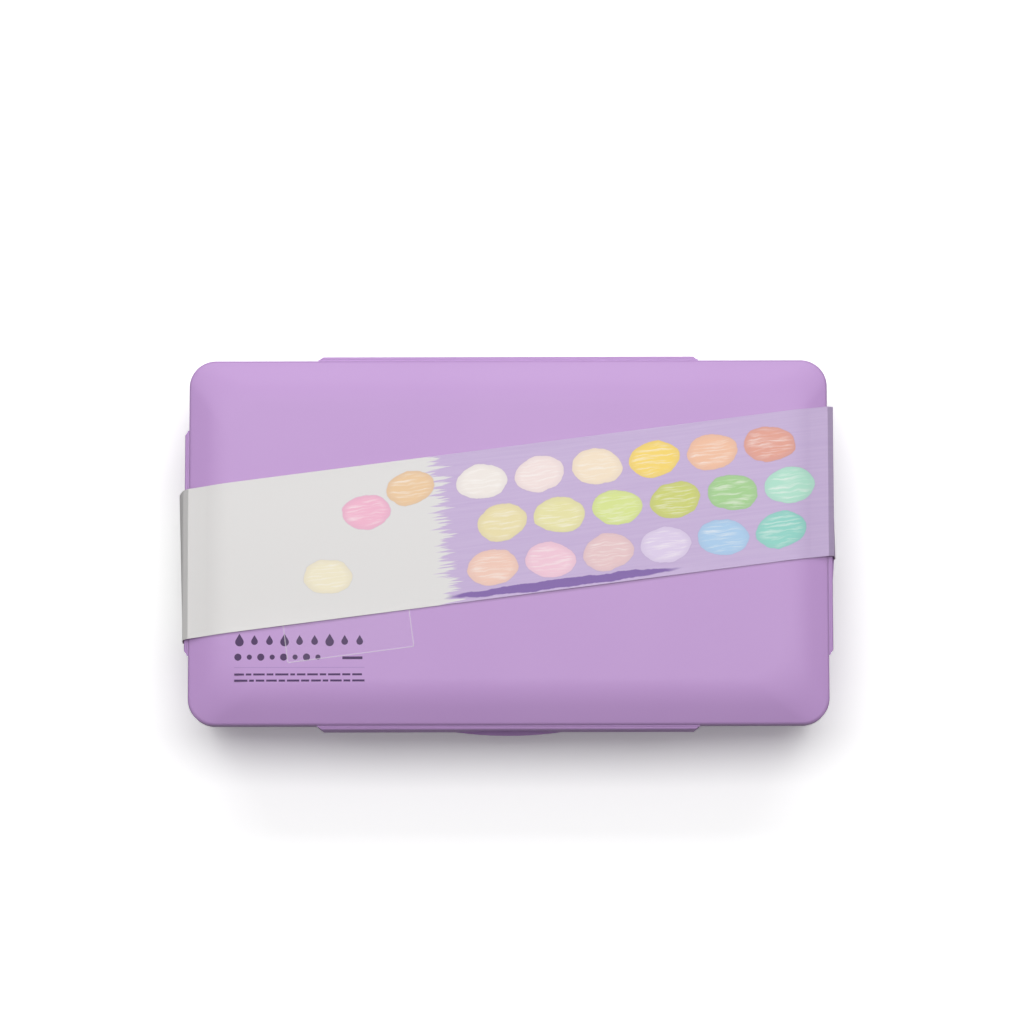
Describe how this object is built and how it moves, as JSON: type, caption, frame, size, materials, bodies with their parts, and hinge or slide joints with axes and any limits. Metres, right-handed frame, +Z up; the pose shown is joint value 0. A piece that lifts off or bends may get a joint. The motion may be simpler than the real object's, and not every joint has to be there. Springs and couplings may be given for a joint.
{
  "type": "gouache paint set box",
  "caption": "Flat plastic paint case with a domed lift-off lid, four swing latches, flanged cups of pastel gouache, a brush channel and a slanted card band.",
  "frame": {"origin": "centre of the case on the plane its four feet stand on", "axes": "+X to the case's right, along its length; +Y to the back, away from the brush channel; +Z up"},
  "size_m": [0.3128, 0.1818, 0.0542],
  "materials": {
    "case_plastic": "satin moulded polypropylene",
    "gasket_silicone": "matte silicone",
    "band_card": "coated card, matte print",
    "cup_plastic": "natural translucent polypropylene",
    "seal_film": "clear peel-off film",
    "gouache_1_1": "moist matte gouache",
    "gouache_1_2": "moist matte gouache",
    "gouache_1_3": "moist matte gouache",
    "gouache_1_4": "moist matte gouache",
    "gouache_1_5": "moist matte gouache",
    "gouache_1_6": "moist matte gouache",
    "gouache_2_1": "moist matte gouache",
    "gouache_2_2": "moist matte gouache",
    "gouache_2_3": "moist matte gouache",
    "gouache_2_4": "moist matte gouache",
    "gouache_2_5": "moist matte gouache",
    "gouache_2_6": "moist matte gouache",
    "gouache_3_1": "moist matte gouache",
    "gouache_3_2": "moist matte gouache",
    "gouache_3_3": "moist matte gouache",
    "gouache_3_4": "moist matte gouache",
    "gouache_3_5": "moist matte gouache",
    "gouache_3_6": "moist matte gouache"
  },
  "bodies": {
    "base": {"base_tray": "case_plastic", "cup_1_1": "cup_plastic", "cup_1_2": "cup_plastic", "cup_1_3": "cup_plastic", "cup_1_4": "cup_plastic", "cup_1_5": "cup_plastic", "cup_1_6": "cup_plastic", "cup_2_1": "cup_plastic", "cup_2_2": "cup_plastic", "cup_2_3": "cup_plastic", "cup_2_4": "cup_plastic", "cup_2_5": "cup_plastic", "cup_2_6": "cup_plastic", "cup_3_1": "cup_plastic", "cup_3_2": "cup_plastic", "cup_3_3": "cup_plastic", "cup_3_4": "cup_plastic", "cup_3_5": "cup_plastic", "cup_3_6": "cup_plastic", "gouache_1_1": "gouache_1_1", "gouache_1_2": "gouache_1_2", "gouache_1_3": "gouache_1_3", "gouache_1_4": "gouache_1_4", "gouache_1_5": "gouache_1_5", "gouache_1_6": "gouache_1_6", "gouache_2_1": "gouache_2_1", "gouache_2_2": "gouache_2_2", "gouache_2_3": "gouache_2_3", "gouache_2_4": "gouache_2_4", "gouache_2_5": "gouache_2_5", "gouache_2_6": "gouache_2_6", "gouache_3_1": "gouache_3_1", "gouache_3_2": "gouache_3_2", "gouache_3_3": "gouache_3_3", "gouache_3_4": "gouache_3_4", "gouache_3_5": "gouache_3_5", "gouache_3_6": "gouache_3_6", "seal_films_back": "seal_film", "seal_films_middle": "seal_film", "seal_films_front": "seal_film"},
    "lid": {"lid": "case_plastic", "lid_gasket": "gasket_silicone", "clear_tab": "seal_film"},
    "latch_front": {"latch_front": "case_plastic"},
    "latch_right": {"latch_right": "case_plastic"},
    "latch_back": {"latch_back": "case_plastic"},
    "latch_left": {"latch_left": "case_plastic"},
    "card_band": {"card_band": "band_card"}
  },
  "joints": [
    {"name": "lid_lift", "type": "slide", "parent": "base", "child": "lid", "axis": [0, 0, 1], "range_m": [0, 0.15]},
    {"name": "latch_front_swing", "type": "hinge", "parent": "lid", "child": "latch_front", "pos_m": [0, -0.08815, 0.045], "axis": [-1, 0, 0], "range_deg": [0, 105]},
    {"name": "latch_right_swing", "type": "hinge", "parent": "lid", "child": "latch_right", "pos_m": [0.153, 0, 0.045], "axis": [0, -1, 0], "range_deg": [0, 105]},
    {"name": "latch_back_swing", "type": "hinge", "parent": "lid", "child": "latch_back", "pos_m": [0, 0.08815, 0.045], "axis": [1, 0, 0], "range_deg": [0, 105]},
    {"name": "latch_left_swing", "type": "hinge", "parent": "lid", "child": "latch_left", "pos_m": [-0.153, 0, 0.045], "axis": [0, 1, 0], "range_deg": [0, 105]},
    {"name": "band_slide", "type": "slide", "parent": "base", "child": "card_band", "axis": [0, -1, 0], "range_m": [0, 0.165], "deforming": ["card_band"]}
  ]
}
